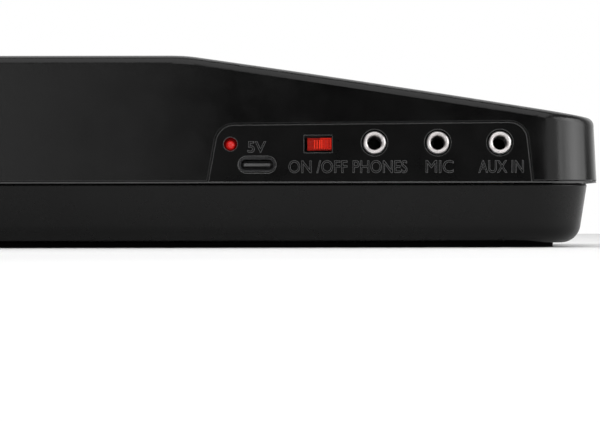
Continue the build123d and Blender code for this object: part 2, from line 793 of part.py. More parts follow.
with BuildPart() as drive_belt:
    for grow, mode in ((belt_thickness, Mode.ADD), (0, Mode.SUBTRACT)):
        with BuildSketch(deck.offset(belt_level - belt_thickness / 2)):
            with Locations((motor_s, motor_y)):
                Circle(pulley_radius + belt_gap + grow)
            with Locations((capstan_s, capstan_y)):
                Circle(flywheel_radius + belt_gap + grow)
            make_hull()
        extrude(amount=belt_thickness, mode=mode)
keep(drive_belt, "drive_belt")

# ================================================================ heads and pinch roller
roller_radius = 6.5
roller_s = capstan_s + capstan_radius + roller_radius + 4.6
carriage_low = chassis_top + 0.4
carriage_high = carriage_low + 1.2
head_start = 72.3
head_top = -5.7

with BuildPart() as head_carriage:
    with BuildSketch(deck.offset(carriage_low)):
        with Locations((76.0, 6.0)):
            RectangleRounded(14.0, 72.0, 2)
        # notch that clears the capstan's bearing
        with Locations((68.0, capstan_y)):
            RectangleRounded(9.0, 11.4, 1, mode=Mode.SUBTRACT)
    extrude(amount=carriage_high - carriage_low)
    # pillars under the two heads
    for head_y in (0.0, -19.0):
        with BuildSketch(deck.offset(carriage_high)):
            with Locations((head_start + 4.0, head_y)):
                Rectangle(6.0, 9.0)
        extrude(amount=-13.2 - carriage_high)
keep(head_carriage, "head_carriage")

for head_name, head_y, head_width in (("play_head", 0.0, 13.0), ("erase_head", -19.0, 9.0)):
    with BuildPart() as head:
        with BuildSketch(deck.offset(-13.2)):
            with Locations((head_start + 4.2, head_y)):
                Rectangle(8.4, head_width)
        extrude(amount=head_top + 13.2)
        corners = head.edges().filter_by(lambda edge: abs(edge.tangent_at(0).Z) > 0.9).sort_by(Axis.X)[:2]
        fillet(corners, 2.4)
    keep(head, head_name)

with BuildPart() as pinch_arm:
    with BuildSketch(deck.offset(carriage_high)):
        with Locations((roller_s + 3.2, capstan_y)):
            Rectangle(12.0, 6.0)
    extrude(amount=1.4)
    with BuildSketch(deck.offset(carriage_high)):
        with Locations((roller_s, capstan_y)):
            Circle(1.2)
    extrude(amount=-6.4 - carriage_high)
keep(pinch_arm, "pinch_arm")

with BuildPart() as pinch_roller:
    with BuildSketch(deck.offset(-12.6)):
        with Locations((roller_s, capstan_y)):
            Circle(roller_radius)
            Circle(1.25, mode=Mode.SUBTRACT)
    extrude(amount=6.0)
    chamfer(pinch_roller.edges().group_by(SortBy.LENGTH)[-1], 0.3)
keep(pinch_roller, "pinch_roller")

# ================================================================ speaker and grille
with BuildPart() as speaker_grille:
    with BuildSketch(Plane.XY.offset(height - 1.4)):
        with Locations((speaker_x, 0)):
            RectangleRounded(grille_length, grille_width, 4)
            with GridLocations(3.4, 42.0, 22, 2):
                SlotOverall(39.0, 1.7, rotation=90, mode=Mode.SUBTRACT)
    extrude(amount=1.2)
keep(speaker_grille, "speaker_grille")


def speaker_ring(points):
    """A solid turned about the speaker's own vertical axis from a (radius, Z) outline."""
    with BuildPart() as turned:
        with BuildSketch(Plane.XZ):
            Polygon(*points, align=None)
        revolve(axis=Axis.Z)
    return turned.part.moved(Location((speaker_x, 0, 0)))


frame_outline = [
    (speaker_radius, 45.8),
    (32.5, 45.8),
    (32.5, 44.6),
    (18.0, 32.4),
    (8.0, 32.4),
    (8.0, 31.2),
    (18.6, 31.2),
    (34.2, 43.9),
    (speaker_radius, 43.9),
]
cone_outline = [
    (32.3, 45.4),
    (30.6, 44.8),
    (9.5, 36.4),
    (9.0, 37.2),
    (0, 39.4),
    (0, 38.6),
    (8.6, 36.0),
    (8.6, 33.0),
    (9.6, 33.0),
    (10.0, 35.6),
    (31.0, 44.0),
    (32.3, 44.7),
]
with BuildPart() as speaker_frame:
    add(speaker_ring(frame_outline))
keep(speaker_frame, "speaker_frame")

with BuildPart() as speaker_magnet:
    with BuildSketch(Plane.XY.offset(22.6)):
        with Locations((speaker_x, 0)):
            Circle(18.4)
    extrude(amount=8.6)
    chamfer(speaker_magnet.edges().group_by(Axis.Z)[0], 0.8)
keep(speaker_magnet, "speaker_magnet")

with BuildPart() as speaker_cone:
    add(speaker_ring(cone_outline))
keep(speaker_cone, "speaker_cone")

# ================================================================ battery bay
with BuildPart() as battery_cover:
    with BuildSketch(Plane.XY.offset(foot_height)):
        with Locations((bay_x, 0)):
            RectangleRounded(bay_length - 0.5, 2 * bay_half_width - 0.5, 0.8)
    extrude(amount=1.8)
    with BuildSketch(Plane.XY.offset(foot_height)):
        with Locations((bay_x + 8, 0)):
            with GridLocations(1.8, 1, 5, 1):
                Rectangle(0.8, 18)
    extrude(amount=0.5, mode=Mode.SUBTRACT)
keep(battery_cover, "battery_cover")

cell_z = foot_height + 1.8 + 0.4 + cell_radius
with BuildPart() as battery_cells:
    for cell_y in (-cell_length / 2, cell_length / 2):
        with BuildSketch(Plane.XZ.offset(-cell_y - cell_length / 2 + 0.1)):
            with Locations((bay_x - 7.4, cell_z), (bay_x + 7.4, cell_z)):
                Circle(cell_radius)
        extrude(amount=cell_length - 1.6)
        with BuildSketch(Plane.XZ.offset(-cell_y + cell_length / 2 - 1.5)):
            with Locations((bay_x - 7.4, cell_z), (bay_x + 7.4, cell_z)):
                Circle(2.7)
        extrude(amount=1.2)
keep(battery_cells, "battery_cells")

with BuildPart() as battery_contacts:
    for side in (1, -1):
        with BuildSketch(Plane.XZ.offset(side * (bay_half_width - 0.05))):
            with Locations((bay_x - 7.4, cell_z), (bay_x + 7.4, cell_z)):
                Rectangle(11, 11)
        extrude(amount=-side * 0.5)
        with BuildSketch(Plane.XZ.offset(side * (bay_half_width - 0.5))):
            with Locations((bay_x - 7.4, cell_z), (bay_x + 7.4, cell_z)):
                Circle(2.4)
                Circle(1.6, mode=Mode.SUBTRACT)
        extrude(amount=-side * 2.2)
keep(battery_contacts, "battery_contacts")

# ================================================================ carry handle
grip_low = handle_z - handle_height / 2
grip_thickness = 7.2
grip_x = -length / 2 + 1.0 + grip_thickness / 2
arm_end = -57.0
arm_y = handle_half_width - handle_arm_width / 2
with BuildPart() as carry_handle:
    with BuildSketch(Plane.XY.offset(grip_low)):
        with Locations((grip_x, 0)):
            Rectangle(grip_thickness, 2 * handle_half_width)
    extrude(amount=handle_height)
    fillet(carry_handle.edges().filter_by(Axis.X), 2.0)
    fillet(carry_handle.faces().sort_by(Axis.X)[0].edges(), 0.8)
    with BuildSketch(Plane.XY.offset(handle_z - 3.4)):
        with Locations(((grip_x + arm_end) / 2, arm_y), ((grip_x + arm_end) / 2, -arm_y)):
            Rectangle(arm_end - grip_x, handle_arm_width)
        with Locations((arm_end - 2, arm_y), (arm_end - 2, -arm_y)):
            Rectangle(4.0, handle_arm_width + 3.0)
    extrude(amount=6.8)
keep(carry_handle, "carry_handle")

# ================================================================ volume wheel, counter, microphone
with BuildPart() as volume_wheel:
    with BuildSketch(Plane.XY.offset(wheel_z - 2)):
        with Locations((wheel_x, wheel_y)):
            Circle(wheel_radius)
            with PolarLocations(wheel_radius, 36):
                Circle(0.35, mode=Mode.SUBTRACT)
            Circle(1.55, mode=Mode.SUBTRACT)
    extrude(amount=4)
keep(volume_wheel, "volume_wheel")

with BuildPart() as volume_control:
    with BuildSketch(Plane.XY.offset(23.0)):
        with Locations((wheel_x, wheel_y)):
            RectangleRounded(12, 12, 1)
    extrude(amount=6.6)
    with BuildSketch(Plane.XY.offset(29.0)):
        with Locations((wheel_x, wheel_y)):
            Circle(1.5)
    extrude(amount=7.0)
keep(volume_control, "volume_control")

with BuildPart() as counter_case:
    with BuildSketch(Plane.XY.offset(36.5)):
        with Locations((counter_x, counter_y)):
            Rectangle(14, 23)
    extrude(amount=9.4)
    with BuildSketch(Plane.XY.offset(37.2)):
        with Locations((counter_x, counter_y)):
            Rectangle(11.6, 20)
    extrude(amount=10, mode=Mode.SUBTRACT)
    with BuildSketch(Plane.XZ.offset(-counter_y)):
        with Locations((counter_x, 41.6)):
            Circle(0.8)
    extrude(amount=10.5, both=True)
keep(counter_case, "counter_case")

with BuildPart() as counter_wheels:
    with BuildSketch(Plane.XZ.offset(-counter_y)):
        with Locations((counter_x, 41.6)):
            Circle(4.1)
            Circle(0.85, mode=Mode.SUBTRACT)
    extrude(amount=8.4, both=True)
    for groove in (-2.8, 2.8):
        with BuildSketch(Plane.XZ.offset(-counter_y - groove - 0.2)):
            with Locations((counter_x, 41.6)):
                Circle(5)
                Circle(3.6, mode=Mode.SUBTRACT)
        extrude(amount=0.4, mode=Mode.SUBTRACT)
keep(counter_wheels, "counter_wheels")

with BuildPart() as counter_window:
    with BuildSketch(Plane.XY.offset(height - 1.2)):
        with Locations((counter_x, counter_y)):
            Rectangle(7.9, 16.9)
    extrude(amount=1.0)
    chamfer(counter_window.faces().sort_by(Axis.Z)[-1].edges(), 0.3)
keep(counter_window, "counter_window")

with BuildPart() as reset_button:
    with BuildSketch(Plane.XY.offset(height - 4.2)):
        with Locations((counter_x, counter_y - 16)):
            RectangleRounded(4.8, 4.8, 0.5)
    extrude(amount=4.1)
    fillet(reset_button.faces().sort_by(Axis.Z)[-1].edges(), 0.4)
keep(reset_button, "reset_button")

with BuildPart() as microphone:
    with BuildSketch(Plane.XY.offset(40.6)):
        with Locations((4, -60)):
            Circle(3.0)
    extrude(amount=5.2)
    chamfer(microphone.edges().group_by(Axis.Z)[-1], 0.3)
keep(microphone, "microphone")

# ================================================================ circuit boards
board_z = floor_z + 2.6
with BuildPart() as circuit_boards:
    # main board on its four supports
    with BuildSketch(Plane.XY.offset(board_z)):
        with Locations((-36, 0)):
            RectangleRounded(68, 84, 2)
    extrude(amount=board_thickness)
    with BuildSketch(Plane.XY.offset(floor_z)):
        with Locations((-36, 0)):
            with GridLocations(58, 74, 2, 2):
                Circle(2.5)
    extrude(amount=board_z - floor_z)
    # board under the sockets
    with BuildSketch(Plane.XY.offset(lip_z + 0.6)):
        with Locations(((panel_bottom_left + panel_bottom_right) / 2 - 0.45, -width / 2 + 11.0)):
            Rectangle(77.6, 13.6)
    extrude(amount=board_thickness)
keep(circuit_boards, "circuit_boards")

with BuildPart() as board_capacitors:
    with BuildSketch(Plane.XY.offset(board_z + board_thickness)):
        with Locations((-60, -30), (-60, -18), (-14, 30), (-24, 30)):
            Circle(4)
    extrude(amount=11)
    chamfer(board_capacitors.edges().group_by(Axis.Z)[-1], 0.4)
keep(board_capacitors, "board_capacitors")
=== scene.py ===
"""Looks of a portable cassette recorder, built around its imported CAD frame."""

import json
import logging
import math
from dataclasses import dataclass
from enum import Enum
from typing import Iterable

import bmesh
import bpy
from mathutils import Matrix, Vector


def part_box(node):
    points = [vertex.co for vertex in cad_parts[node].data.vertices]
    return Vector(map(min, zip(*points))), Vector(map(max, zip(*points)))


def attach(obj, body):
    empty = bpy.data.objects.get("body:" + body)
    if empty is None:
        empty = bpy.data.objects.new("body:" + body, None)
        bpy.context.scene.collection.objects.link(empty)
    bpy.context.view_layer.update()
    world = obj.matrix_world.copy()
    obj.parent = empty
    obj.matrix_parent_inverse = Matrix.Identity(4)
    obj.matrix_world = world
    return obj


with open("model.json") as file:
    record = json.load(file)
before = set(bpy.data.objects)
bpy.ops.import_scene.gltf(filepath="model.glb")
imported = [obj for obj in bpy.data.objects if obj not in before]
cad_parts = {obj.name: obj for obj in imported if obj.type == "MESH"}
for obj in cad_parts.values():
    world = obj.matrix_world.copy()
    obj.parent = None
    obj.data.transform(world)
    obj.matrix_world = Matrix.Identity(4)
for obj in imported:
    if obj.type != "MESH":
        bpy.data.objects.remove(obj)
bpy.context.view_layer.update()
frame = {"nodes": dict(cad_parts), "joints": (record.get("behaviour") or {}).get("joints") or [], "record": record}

log = logging.getLogger("cassette_recorder")
logging.basicConfig(level=logging.INFO, format="%(message)s")

MM = 0.001
Colour = tuple[float, float, float]


# ---------------------------------------------------------------- placing

@dataclass(frozen=True)
class Placing:
    """A flat working frame on the object: its origin, a direction along it, one up it and one out of it."""

    origin: Vector
    along: Vector
    up: Vector
    out: Vector

    def point(self, along: float, up: float, out: float = 0.0) -> Vector:
        """Return the place at the given distances, in metres."""
        return self.origin + self.along * along + self.up * up + self.out * out

    def coordinates(self, place: Vector) -> Vector:
        """Return a place's distances along, up and out of this frame, in metres."""
        offset = place - self.origin
        return Vector((offset.dot(self.along), offset.dot(self.up), offset.dot(self.out)))

    def matrix(self, along: float = 0.0, up: float = 0.0, out: float = 0.0) -> Matrix:
        """Return the matrix that lays a piece, modelled flat at the world origin, on this frame.

        Args:
            along: Distance along the frame, in metres.
            up: Distance up the frame, in metres.
            out: Distance out of the frame, in metres.

        Returns:
            The turn and shift from the world axes to this frame.
        """
        turned = Matrix((self.along, self.up, self.out)).transposed().to_4x4()
        return Matrix.Translation(self.point(along, up, out)) @ turned


def joint_named(name: str) -> dict:
    """Return the record's joint of that name."""
    return next(joint for joint in frame["joints"] if joint["name"] == name)


def mount_named(name: str) -> dict:
    """Return the record's mount of that name."""
    return next(mount for mount in frame["record"]["mounts"] if mount["name"] == name)


def centre_of(node: str) -> Vector:
    """Return the middle of a CAD node's box."""
    low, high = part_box(node)
    return (low + high) / 2


def front_of(node: str) -> Vector:
    """Return the middle of the side of a CAD node's box that faces along -Y."""
    low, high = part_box(node)
    return Vector(((low.x + high.x) / 2, low.y, (low.z + high.z) / 2))


def deck_frame() -> Placing:
    """Return the sloping deck's frame: origin on the door's hinge, along the slope, up across its width."""
    normal = Vector(joint_named("capstan_spin")["axis"]).normalized()
    along = Vector((normal.z, 0.0, -normal.x))
    return Placing(Vector(joint_named("door_hinge")["pos_m"]), along, Vector((0.0, 1.0, 0.0)), normal)


def panel_frame() -> Placing:
    """Return the jack panel's frame: origin on its face at the middle socket, X along it."""
    mount = mount_named("mic_socket")
    out = Vector(mount["axis"]).normalized()
    face = Vector(mount["pos_m"]) + out * (mount["dims"]["length_mm"] / 2 * MM)
    along = Vector((1.0, 0.0, 0.0))
    return Placing(face, along, out.cross(along), out)


# ---------------------------------------------------------------- materials

class Graph:
    """A material's node tree with one Principled shader, and short calls that add nodes to it."""

    def __init__(self, name: str) -> None:
        """Start an empty material of that name."""
        self.material = bpy.data.materials.new(name)
        self.material.use_nodes = True
        self.nodes = self.material.node_tree.nodes
        self.links = self.material.node_tree.links
        self.nodes.clear()
        self.output = self.nodes.new("ShaderNodeOutputMaterial")
        self.shader = self.nodes.new("ShaderNodeBsdfPrincipled")
        self.links.new(self.shader.outputs["BSDF"], self.output.inputs["Surface"])
        self.place = self.nodes.new("ShaderNodeTexCoord").outputs["Object"]

    def put(self, node: bpy.types.Node, **inputs: object) -> bpy.types.Node:
        """Set a node's inputs, each to a constant or to another node's output."""
        for name, value in inputs.items():
            socket = node.inputs[name.replace("_", " ")]
            if isinstance(value, bpy.types.NodeSocket):
                self.links.new(value, socket)
            else:
                socket.default_value = value
        return node

    def noise(self, size: float, detail: float = 3.0, roughness: float = 0.6,
              stretch: tuple[float, float, float] = (1.0, 1.0, 1.0)) -> bpy.types.NodeSocket:
        """Add a noise pattern.

        Args:
            size: Length of one blotch, in metres.
            detail: Number of finer layers.
            roughness: Share of the finer layers.
            stretch: How often the pattern repeats along X, Y and Z beside the others.

        Returns:
            The pattern's value, from 0 to 1.
        """
        mapping = self.put(self.nodes.new("ShaderNodeMapping"), Vector=self.place, Scale=stretch)
        node = self.put(self.nodes.new("ShaderNodeTexNoise"), Vector=mapping.outputs["Vector"],
                        Scale=1.0 / size, Detail=detail, Roughness=roughness)
        return node.outputs["Fac"]

    def cells(self, size: float, smooth: float = 0.6) -> bpy.types.NodeSocket:
        """Add rounded leather-like cells of a given size in metres, and return their height."""
        node = self.nodes.new("ShaderNodeTexVoronoi")
        node.feature = "SMOOTH_F1"
        self.put(node, Vector=self.place, Scale=1.0 / size, Smoothness=smooth)
        return node.outputs["Distance"]

    def remap(self, value: bpy.types.NodeSocket, low: float, high: float, start: float, end: float
              ) -> bpy.types.NodeSocket:
        """Map a value's span low to high onto start to end, clamped."""
        node = self.nodes.new("ShaderNodeMapRange")
        node.clamp = True
        self.put(node, Value=value, From_Min=low, From_Max=high, To_Min=start, To_Max=end)
        return node.outputs["Result"]

    def mix(self, share: object, first: object, second: object) -> bpy.types.NodeSocket:
        """Mix two colours by a share from 0 to 1."""
        node = self.nodes.new("ShaderNodeMix")
        node.data_type = "RGBA"
        for index, value in ((0, share), (6, first), (7, second)):
            if isinstance(value, bpy.types.NodeSocket):
                self.links.new(value, node.inputs[index])
            else:
                node.inputs[index].default_value = (*value, 1.0) if isinstance(value, tuple) else value
        return node.outputs[2]

    def arithmetic(self, kind: str, first: object, second: object) -> bpy.types.NodeSocket:
        """Join two numbers by a math operation such as ADD or MULTIPLY."""
        node = self.nodes.new("ShaderNodeMath")
        node.operation = kind
        for index, value in enumerate((first, second)):
            if isinstance(value, bpy.types.NodeSocket):
                self.links.new(value, node.inputs[index])
            else:
                node.inputs[index].default_value = value
        return node.outputs["Value"]

    def edges(self, reach: float) -> bpy.types.NodeSocket:
        """Return 1 on edges sharper than a given reach in metres, and 0 away from them."""
        bevel = self.nodes.new("ShaderNodeBevel")
        bevel.samples = 4
        bevel.inputs["Radius"].default_value = reach
        plain = self.nodes.new("ShaderNodeNewGeometry")
        dot = self.nodes.new("ShaderNodeVectorMath")
        dot.operation = "DOT_PRODUCT"
        self.links.new(bevel.outputs["Normal"], dot.inputs[0])
        self.links.new(plain.outputs["Normal"], dot.inputs[1])
        return self.remap(dot.outputs["Value"], 0.995, 0.90, 0.0, 1.0)

    def bump(self, height: bpy.types.NodeSocket, depth: float, strength: float = 1.0,
             normal: bpy.types.NodeSocket | None = None) -> bpy.types.NodeSocket:
        """Turn a height from 0 to 1 into a surface normal.

        Args:
            height: The pattern that stands out of the surface.
            depth: How far it stands out, in metres.
            strength: Share of the effect.
            normal: A bump that this one lies on, if there is one.

        Returns:
            The normal, for the shader or for a further bump.
        """
        node = self.put(self.nodes.new("ShaderNodeBump"), Height=height, Distance=depth, Strength=strength)
        if normal is not None:
            self.links.new(normal, node.inputs["Normal"])
        return node.outputs["Normal"]


@dataclass(frozen=True)
class MouldedPlastic:
    """A moulded plastic skin with grain, faint blotches, dust in the grain, glossier edges and a painted highlight
    that lightens their colour.
    """

    name: str
    colour: Colour
    roughness: float = 0.45
    grain: float = 0.0007
    grain_depth: float = 0.00003
    fine_depth: float = 0.00001
    specular: float = 0.4
    edge_highlight: float = 0.6
    edge_reach: float = 0.0004
    edge_highlight_tone: float = 0.006

    def make(self) -> bpy.types.Material:
        """Build the material."""
        graph = Graph(self.name)
        blotch = graph.noise(0.03, detail=4.0)
        speck = graph.noise(0.0009, detail=2.0)
        edge = graph.edges(self.edge_reach)
        light = tuple(min(1.0, channel * 1.35 + 0.002) for channel in self.colour)
        # Painted highlight: edges are lightened towards this tone, standing in for light caught on their rounded
        # faces.
        edge_highlight = tuple(min(1.0, channel * 1.8 + self.edge_highlight_tone) for channel in self.colour)
        base = graph.mix(graph.remap(blotch, 0.3, 0.7, 0.0, 0.6), self.colour, light)
        base = graph.mix(graph.remap(speck, 0.62, 0.74, 0.0, 0.35), base, light)
        base = graph.mix(graph.arithmetic("MULTIPLY", edge, self.edge_highlight), base, edge_highlight)
        rough = graph.remap(graph.noise(0.012, detail=5.0), 0.3, 0.7,
                            self.roughness - 0.05, self.roughness + 0.06)
        rough = graph.arithmetic("SUBTRACT", rough, graph.arithmetic("MULTIPLY", edge, 0.10 * self.edge_highlight))
        leather = graph.bump(graph.cells(self.grain), self.grain_depth)
        skin = graph.bump(graph.noise(self.grain * 0.45, detail=2.0), self.fine_depth, normal=leather)
        graph.put(graph.shader, Base_Color=base, Roughness=rough, Normal=skin,
                  Specular_IOR_Level=self.specular)
        return graph.material


@dataclass(frozen=True)
class WorkedMetal:
    """A metal with fine drawn lines along one axis, stains and a painted highlight that brightens its edges."""

    name: str
    colour: Colour
    roughness: float = 0.3
    lines: tuple[float, float, float] = (1.0, 12.0, 12.0)
    line_size: float = 0.002
    edge_highlight_gain: float = 1.12

    def make(self) -> bpy.types.Material:
        """Build the material."""
        graph = Graph(self.name)
        drawn = graph.noise(self.line_size, detail=3.0, stretch=self.lines)
        stain = graph.noise(0.009, detail=4.0)
        dull = tuple(channel * 0.72 for channel in self.colour)
        bright = tuple(min(1.0, channel * self.edge_highlight_gain) for channel in self.colour)
        base = graph.mix(graph.remap(stain, 0.35, 0.7, 0.0, 0.8), self.colour, dull)
        # Painted highlight: edges are brightened by the gain, standing in for light caught on their rims.
        base = graph.mix(graph.edges(0.0003), base, bright)
        rough = graph.remap(drawn, 0.3, 0.7, self.roughness - 0.07, self.roughness + 0.12)
        graph.put(graph.shader, Base_Color=base, Roughness=rough, Normal=graph.bump(drawn, 0.000006),
                  Metallic=1.0)
        return graph.material


@dataclass(frozen=True)
class SoftRubber:
    """A moulded rubber with a dusty, slightly pitted skin."""

    name: str
    colour: Colour = (0.014, 0.014, 0.015)

    def make(self) -> bpy.types.Material:
        """Build the material."""
        graph = Graph(self.name)
        dust = graph.noise(0.003, detail=5.0)
        pits = graph.noise(0.0005, detail=2.0)
        base = graph.mix(graph.remap(dust, 0.45, 0.75, 0.0, 0.5), self.colour, (0.045, 0.043, 0.04))
        graph.put(graph.shader, Base_Color=base, Roughness=graph.remap(dust, 0.3, 0.7, 0.62, 0.82),
                  Normal=graph.bump(pits, 0.00002), Specular_IOR_Level=0.3)
        return graph.material


@dataclass(frozen=True)
class ClearPlastic:
    """A tinted clear plastic with fine hairline scratches."""

    name: str
    tint: Colour
    transmission: float = 1.0
    roughness: float = 0.06
    glow: float = 0.0

    def make(self) -> bpy.types.Material:
        """Build the material."""
        graph = Graph(self.name)
        hairline = graph.noise(0.004, detail=6.0, stretch=(1.0, 14.0, 3.0))
        haze = graph.noise(0.01, detail=3.0)
        tint = graph.mix(graph.remap(haze, 0.3, 0.7, 0.0, 0.25), self.tint,
                         tuple(min(1.0, channel * 1.15) for channel in self.tint))
        rough = graph.remap(hairline, 0.45, 0.75, self.roughness, self.roughness + 0.12)
        graph.put(graph.shader, Base_Color=tint, Roughness=rough, Transmission_Weight=self.transmission,
                  IOR=1.49, Normal=graph.bump(hairline, 0.000002))
        # Painted glow: emission in the tint's colour brightens the plastic, though no lamp lights it from inside.
        if self.glow:
            graph.put(graph.shader, Emission_Color=(*self.tint, 1.0), Emission_Strength=self.glow)
        return graph.material


@dataclass(frozen=True)
class CircuitBoard:
    """A green board with darker tracks under its lacquer."""

    name: str

    def make(self) -> bpy.types.Material:
        """Build the material."""
        graph = Graph(self.name)
        brick = graph.nodes.new("ShaderNodeTexBrick")
        graph.put(brick, Vector=graph.place, Scale=220.0, Mortar_Size=0.03,
                  Color1=(0.012, 0.085, 0.035, 1.0), Color2=(0.015, 0.11, 0.045, 1.0),
                  Mortar=(0.03, 0.2, 0.09, 1.0))
        glass = graph.noise(0.0008, detail=2.0, stretch=(1.0, 3.0, 1.0))
        base = graph.mix(graph.remap(glass, 0.4, 0.7, 0.0, 0.4), brick.outputs["Color"], (0.02, 0.13, 0.05))
        graph.put(graph.shader, Base_Color=base, Roughness=graph.remap(glass, 0.3, 0.7, 0.28, 0.42),
                  Normal=graph.bump(brick.outputs["Fac"], 0.00003))
        return graph.material


@dataclass(frozen=True)
class PressedPaper:
    """The speaker cone's pressed black paper with its fibres."""

    name: str

    def make(self) -> bpy.types.Material:
        """Build the material."""
        graph = Graph(self.name)
        fibre = graph.noise(0.0016, detail=6.0, roughness=0.75, stretch=(1.0, 3.0, 1.0))
        base = graph.mix(graph.remap(fibre, 0.35, 0.7, 0.0, 1.0), (0.018, 0.017, 0.016), (0.05, 0.047, 0.044))
        graph.put(graph.shader, Base_Color=base, Roughness=0.9, Normal=graph.bump(fibre, 0.00008))
        return graph.material


@dataclass(frozen=True)
class PadPrint:
    """A thin printed ink, a little broken up at its edges."""

    name: str
    colour: Colour = (0.62, 0.62, 0.6)
    roughness: float = 0.5

    def make(self) -> bpy.types.Material:
        """Build the material."""
        graph = Graph(self.name)
        thin = graph.noise(0.0007, detail=4.0)
        dark = tuple(channel * 0.7 for channel in self.colour)
        base = graph.mix(graph.remap(thin, 0.45, 0.8, 0.0, 0.8), self.colour, dark)
        graph.put(graph.shader, Base_Color=base, Roughness=graph.remap(thin, 0.3, 0.7, self.roughness,
                  self.roughness + 0.15), Normal=graph.bump(thin, 0.00001))
        return graph.material


class Finish(Enum):
    """Every finish on the object."""

    CASE = MouldedPlastic("case_finish", (0.0012, 0.0012, 0.0012), roughness=0.19, grain=0.0005,
                          grain_depth=0.00001, fine_depth=0.000005, specular=0.42, edge_highlight=0.9,
                          edge_reach=0.0003, edge_highlight_tone=0.03)
    TUB = MouldedPlastic("tub_finish", (0.0018, 0.0018, 0.0018), roughness=0.26, grain=0.0005,
                         grain_depth=0.00001, fine_depth=0.000006, specular=0.22)
    # Painted highlight: a strong edge tone lightens the panel's outline and rims.
    PANEL = MouldedPlastic("panel_finish", (0.0014, 0.0014, 0.0014), roughness=0.30, grain=0.0004,
                           grain_depth=0.000006, fine_depth=0.000004, specular=0.16, edge_highlight=1.0,
                           edge_reach=0.00025, edge_highlight_tone=0.18)
    # Painted highlight: a grey much lighter than the case, for the bright line along the seam.
    BEAD = MouldedPlastic("seam_highlight_finish", (0.045, 0.045, 0.045), roughness=0.3, grain=0.0004,
                          grain_depth=0.000004, fine_depth=0.000003, specular=0.4)
    # Painted shadow: near-black and dull, for the rib that stands in for the shade under the tub.
    UNDERSIDE = MouldedPlastic("painted_shadow_finish", (0.0004, 0.0004, 0.0004), roughness=0.85, specular=0.03,
                               edge_highlight=0.0)
    DOOR = MouldedPlastic("door_finish", (0.0028, 0.0028, 0.0028), roughness=0.30, grain=0.0006,
                          grain_depth=0.00002, fine_depth=0.00001, specular=0.28)
    KEY = MouldedPlastic("key_finish", (0.016, 0.016, 0.017), roughness=0.3, grain=0.0005,
                         grain_depth=0.000008, fine_depth=0.000005)
    RECORD_KEY = MouldedPlastic("record_key_finish", (0.42, 0.012, 0.008), roughness=0.3, grain=0.0005,
                                grain_depth=0.000008, fine_depth=0.000005)
    INNER = MouldedPlastic("inner_finish", (0.018, 0.018, 0.019), roughness=0.5, grain=0.0006,
                           grain_depth=0.00002, fine_depth=0.00001)
    # Painted highlight: a grey for the letters' rims and the USB tongue, standing in for the light their edges
    # catch.
    LETTER = MouldedPlastic("rim_highlight_finish", (0.07, 0.07, 0.071), roughness=0.34, grain=0.0004,
                            grain_depth=0.000004, fine_depth=0.000004)
    SWITCH = MouldedPlastic("switch_red_finish", (0.42, 0.010, 0.003), roughness=0.26, grain=0.0004,
                            grain_depth=0.000004, fine_depth=0.000003)
    # Painted highlight: a lit copy of the switch's red, for the slider's ridges.
    RIDGE = MouldedPlastic("switch_ridge_highlight_finish", (0.85, 0.028, 0.010), roughness=0.24, grain=0.0004,
                           grain_depth=0.000004, fine_depth=0.000003)
    GRILLE = MouldedPlastic("grille_paint_finish", (0.014, 0.014, 0.0145), roughness=0.4, grain=0.0003,
                            grain_depth=0.00001, fine_depth=0.00001, edge_highlight=1.0)
    FERRITE = MouldedPlastic("ferrite_finish", (0.035, 0.035, 0.038), roughness=0.6, grain=0.0004,
                             grain_depth=0.00004, fine_depth=0.00003)
    JACKET = MouldedPlastic("cell_jacket_finish", (0.09, 0.1, 0.11), roughness=0.3, grain=0.002,
                            grain_depth=0.000004, fine_depth=0.000002)
    STEEL = WorkedMetal("plated_steel_finish", (0.52, 0.52, 0.53))
    NICKEL = WorkedMetal("nickel_finish", (0.92, 0.88, 0.87), roughness=0.30, line_size=0.001)
    # Painted highlight: the high gain lightens the dark shell's rims into a bright line.
    DARK_STEEL = WorkedMetal("dark_steel_finish", (0.022, 0.022, 0.023), roughness=0.36, edge_highlight_gain=5.0)
    BRASS = WorkedMetal("brass_finish", (0.72, 0.49, 0.18), roughness=0.24)
    ALLOY = WorkedMetal("alloy_finish", (0.62, 0.62, 0.64), roughness=0.32)
    RUBBER = SoftRubber("rubber_finish")
    WINDOW = ClearPlastic("window_finish", (0.30, 0.31, 0.33))
    # Painted glow: the power light and its lens emit a little red, brightening them as though lit.
    LIGHT = ClearPlastic("light_finish", (0.30, 0.006, 0.006), transmission=0.3, roughness=0.2, glow=0.12)
    LENS = ClearPlastic("lens_finish", (0.66, 0.016, 0.014), transmission=0.35, roughness=0.08, glow=0.22)
    BOARD = CircuitBoard("circuit_board_finish")
    PAPER = PressedPaper("cone_paper_finish")
    PRINT = PadPrint("white_print_finish")

    def material(self) -> bpy.types.Material:
        """Return this finish's material, made once."""
        return bpy.data.materials.get(self.value.name) or self.value.make()


def dress(finish: Finish, *names: str) -> None:
    """Give CAD nodes a finish through their material slots."""
    for name in names:
        node = frame["nodes"][name]
        for slot in node.material_slots:
            slot.material = finish.material()
        if not node.material_slots:
            node.data.materials.append(finish.material())


# ---------------------------------------------------------------- modelling

def deselect() -> None:
    """Leave nothing selected, in object mode."""
    if bpy.context.mode != "OBJECT":
        bpy.ops.object.mode_set(mode="OBJECT")
    bpy.ops.object.select_all(action="DESELECT")


def only(piece: bpy.types.Object) -> None:
    """Select one piece and make it active."""
    deselect()
    piece.select_set(True)
    bpy.context.view_layer.objects.active = piece


def pick_faces(piece: bpy.types.Object, wanted) -> None:
    """In edit mode, select the faces for which wanted(face) is true."""
    mesh = bmesh.from_edit_mesh(piece.data)
    for face in mesh.faces:
        face.select_set(bool(wanted(face)))
    mesh.select_flush_mode()
    bmesh.update_edit_mesh(piece.data)


def settle(piece: bpy.types.Object, matrix: Matrix) -> bpy.types.Object:
    """Move a piece by a matrix and write its place into its mesh."""
    piece.matrix_world = matrix @ piece.matrix_world
    only(piece)
    bpy.ops.object.transform_apply(location=True, rotation=True, scale=True)
    return piece


